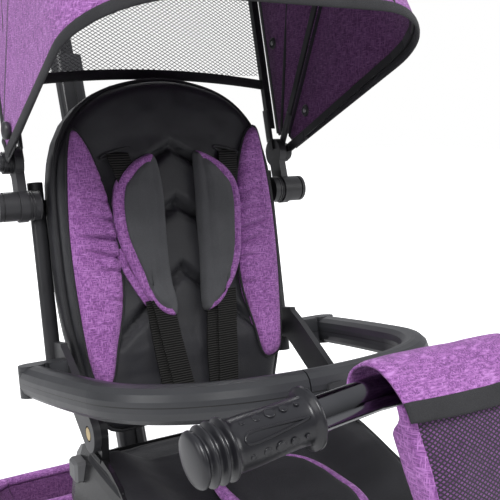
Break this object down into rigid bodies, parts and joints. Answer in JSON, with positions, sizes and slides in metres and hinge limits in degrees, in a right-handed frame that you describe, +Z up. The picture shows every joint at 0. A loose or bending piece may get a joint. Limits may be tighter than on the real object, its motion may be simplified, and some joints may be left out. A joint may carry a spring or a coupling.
{
  "type": "folding tricycle",
  "caption": "Folding child's push tricycle with a padded reclining seat, harness, safety bar, fold-back canopy, telescopic push pole, basket and handlebar bag.",
  "frame": {"origin": "ground level, midway between the object's sides and midway along its length", "axes": "+Z up, -Y towards the front wheel, +X towards the child's left hand"},
  "size_m": [0.538, 1.2247, 1.0282],
  "materials": {
    "foam_tyre": "matt",
    "wheel_plastic": "satin",
    "dark_plastic": "fine grain",
    "gloss_black": "gloss",
    "dark_steel": "gloss",
    "black_chrome": "dark polished",
    "grip_rubber": "matt, dotted",
    "black_fabric": "quilted weave",
    "purple_fabric": "melange weave",
    "webbing": "ribbed",
    "net": "open net",
    "brass_bolt": "satin",
    "grey_plastic": "satin"
  },
  "bodies": {
    "rear_frame": {"rear_frame": "dark_steel", "rear_axle": "dark_steel", "hinge_pin": "dark_steel", "push_pole": "dark_steel", "pole_collar": "dark_plastic", "seat_shell": "gloss_black", "seat_pad": "black_fabric", "crotch_pad": "black_fabric", "harness_buckle": "dark_plastic", "recline_catch": "grey_plastic", "basket": "purple_fabric", "basket_rim": "dark_steel"},
    "front_frame": {"front_frame": "dark_steel"},
    "fold_lever": {"fold_lever": "dark_plastic"},
    "steering": {"front_fork": "dark_plastic", "front_fender": "dark_plastic", "stem": "dark_plastic", "handlebar": "black_chrome", "handlebar_grips": "grip_rubber", "handlebar_bag": "purple_fabric"},
    "front_wheel": {"front_tyre": "foam_tyre", "front_rim": "wheel_plastic", "crankset": "dark_plastic"},
    "pedal_left": {"pedal_left": "dark_plastic"},
    "pedal_right": {"pedal_right": "dark_plastic"},
    "rear_wheel_left": {"rear_tyre_left": "foam_tyre", "rear_rim_left": "wheel_plastic", "hub_cap_left": "grey_plastic"},
    "rear_wheel_right": {"rear_tyre_right": "foam_tyre", "rear_rim_right": "wheel_plastic", "hub_cap_right": "grey_plastic"},
    "brake_pedal": {"brake_pedal": "dark_plastic"},
    "footrest_left": {"footrest_left": "dark_plastic"},
    "footrest_right": {"footrest_right": "dark_plastic"},
    "backrest": {"backrest_shell": "dark_plastic", "backrest_pad": "black_fabric", "side_panels": "purple_fabric", "shoulder_pads": "black_fabric", "harness_webbing": "webbing", "backrest_frame": "dark_steel", "side_brackets": "dark_plastic", "recline_bolts": "brass_bolt", "bar_sockets": "dark_plastic", "canopy_barrels": "dark_plastic"},
    "bar_left": {"bar_arm_left": "dark_plastic"},
    "bar_right": {"bar_arm_right": "dark_plastic"},
    "bar_button": {"bar_button": "dark_plastic"},
    "canopy_frame": {"canopy_arms": "dark_plastic", "canopy_bow_rear": "black_fabric", "canopy_mesh": "net", "canopy_hem": "black_fabric"},
    "canopy_mid": {"canopy_bow_mid": "dark_plastic", "canopy_skin_mid": "purple_fabric"},
    "canopy_front": {"canopy_bow_front": "dark_plastic", "canopy_skin_front": "purple_fabric"},
    "push_tube": {"push_pole_tube": "black_chrome", "push_handle": "dark_plastic", "push_handle_grips": "grip_rubber"},
    "pole_button": {"pole_button": "grey_plastic"}
  },
  "joints": [
    {"name": "frame_fold", "type": "hinge", "parent": "rear_frame", "child": "front_frame", "pos_m": [0, -0.03, 0.18], "axis": [1, 0, 0], "range_deg": [0, 125]},
    {"name": "fold_lever_lift", "type": "hinge", "parent": "rear_frame", "child": "fold_lever", "pos_m": [0.0246, 0.002, 0.206], "axis": [1, 0, 0], "range_deg": [0, 30]},
    {"name": "steering_turn", "type": "hinge", "parent": "front_frame", "child": "steering", "pos_m": [0, -0.48797, 0.125], "axis": [0, 0.2419, 0.9703], "range_deg": [-35, 35]},
    {"name": "front_wheel_spin", "type": "hinge", "parent": "steering", "child": "front_wheel", "pos_m": [0, -0.48797, 0.125], "axis": [1, 0, 0], "continuous": true},
    {"name": "pedal_left_spin", "type": "hinge", "parent": "front_wheel", "child": "pedal_left", "pos_m": [0.1078, -0.41597, 0.125], "axis": [1, 0, 0], "continuous": true},
    {"name": "pedal_right_spin", "type": "hinge", "parent": "front_wheel", "child": "pedal_right", "pos_m": [-0.1078, -0.55997, 0.125], "axis": [1, 0, 0], "continuous": true},
    {"name": "rear_wheel_left_spin", "type": "hinge", "parent": "rear_frame", "child": "rear_wheel_left", "pos_m": [0.236, 0.215, 0.1], "axis": [1, 0, 0], "continuous": true},
    {"name": "rear_wheel_right_spin", "type": "hinge", "parent": "rear_frame", "child": "rear_wheel_right", "pos_m": [-0.236, 0.215, 0.1], "axis": [1, 0, 0], "continuous": true},
    {"name": "brake_pedal_press", "type": "hinge", "parent": "rear_frame", "child": "brake_pedal", "pos_m": [0.08, 0.204, 0.123], "axis": [-1, 0, 0], "range_deg": [0, 18], "stiffness_Nm_per_rad": 2, "springref_deg": -8.59},
    {"name": "footrest_left_fold", "type": "hinge", "parent": "front_frame", "child": "footrest_left", "pos_m": [0.034, -0.262, 0.15], "axis": [0, -1, 0], "range_deg": [0, 85]},
    {"name": "footrest_right_fold", "type": "hinge", "parent": "front_frame", "child": "footrest_right", "pos_m": [-0.034, -0.262, 0.15], "axis": [0, 1, 0], "range_deg": [0, 85]},
    {"name": "backrest_recline", "type": "hinge", "parent": "rear_frame", "child": "backrest", "pos_m": [0, -0.039, 0.394], "axis": [1, 0, 0], "range_deg": [-15, 0]},
    {"name": "bar_left_swing", "type": "hinge", "parent": "backrest", "child": "bar_left", "pos_m": [0.196, 0.034, 0.437], "axis": [0, 0.1857, 0.9826], "range_deg": [0, 75]},
    {"name": "bar_right_swing", "type": "hinge", "parent": "backrest", "child": "bar_right", "pos_m": [-0.196, 0.034, 0.437], "axis": [0, -0.1857, -0.9826], "range_deg": [0, 75]},
    {"name": "bar_button_press", "type": "slide", "parent": "bar_left", "child": "bar_button", "axis": [0, 0.9826, -0.1857], "range_m": [0, 0.0025], "stiffness_N_per_m": 400, "springref_m": -0.001},
    {"name": "canopy_tilt", "type": "hinge", "parent": "backrest", "child": "canopy_frame", "pos_m": [0, 0.112, 0.62], "axis": [-1, 0, 0], "range_deg": [0, 10]},
    {"name": "canopy_mid_fold", "type": "hinge", "parent": "canopy_frame", "child": "canopy_mid", "pos_m": [0, 0.129, 0.669], "axis": [-1, 0, 0], "range_deg": [0, 36]},
    {"name": "canopy_front_fold", "type": "hinge", "parent": "canopy_mid", "child": "canopy_front", "pos_m": [0, 0.129, 0.669], "axis": [-1, 0, 0], "range_deg": [0, 36]},
    {"name": "push_pole_slide", "type": "slide", "parent": "rear_frame", "child": "push_tube", "axis": [0, 0.3997, 0.9166], "range_m": [-0.18, 0]},
    {"name": "pole_button_press", "type": "slide", "parent": "rear_frame", "child": "pole_button", "axis": [0, -0.9166, 0.3997], "range_m": [0, 0.003], "stiffness_N_per_m": 400, "springref_m": -0.001}
  ],
  "couplings": [
    {"joint": "canopy_mid_fold", "follows": "canopy_front_fold", "ratio": 1}
  ]
}
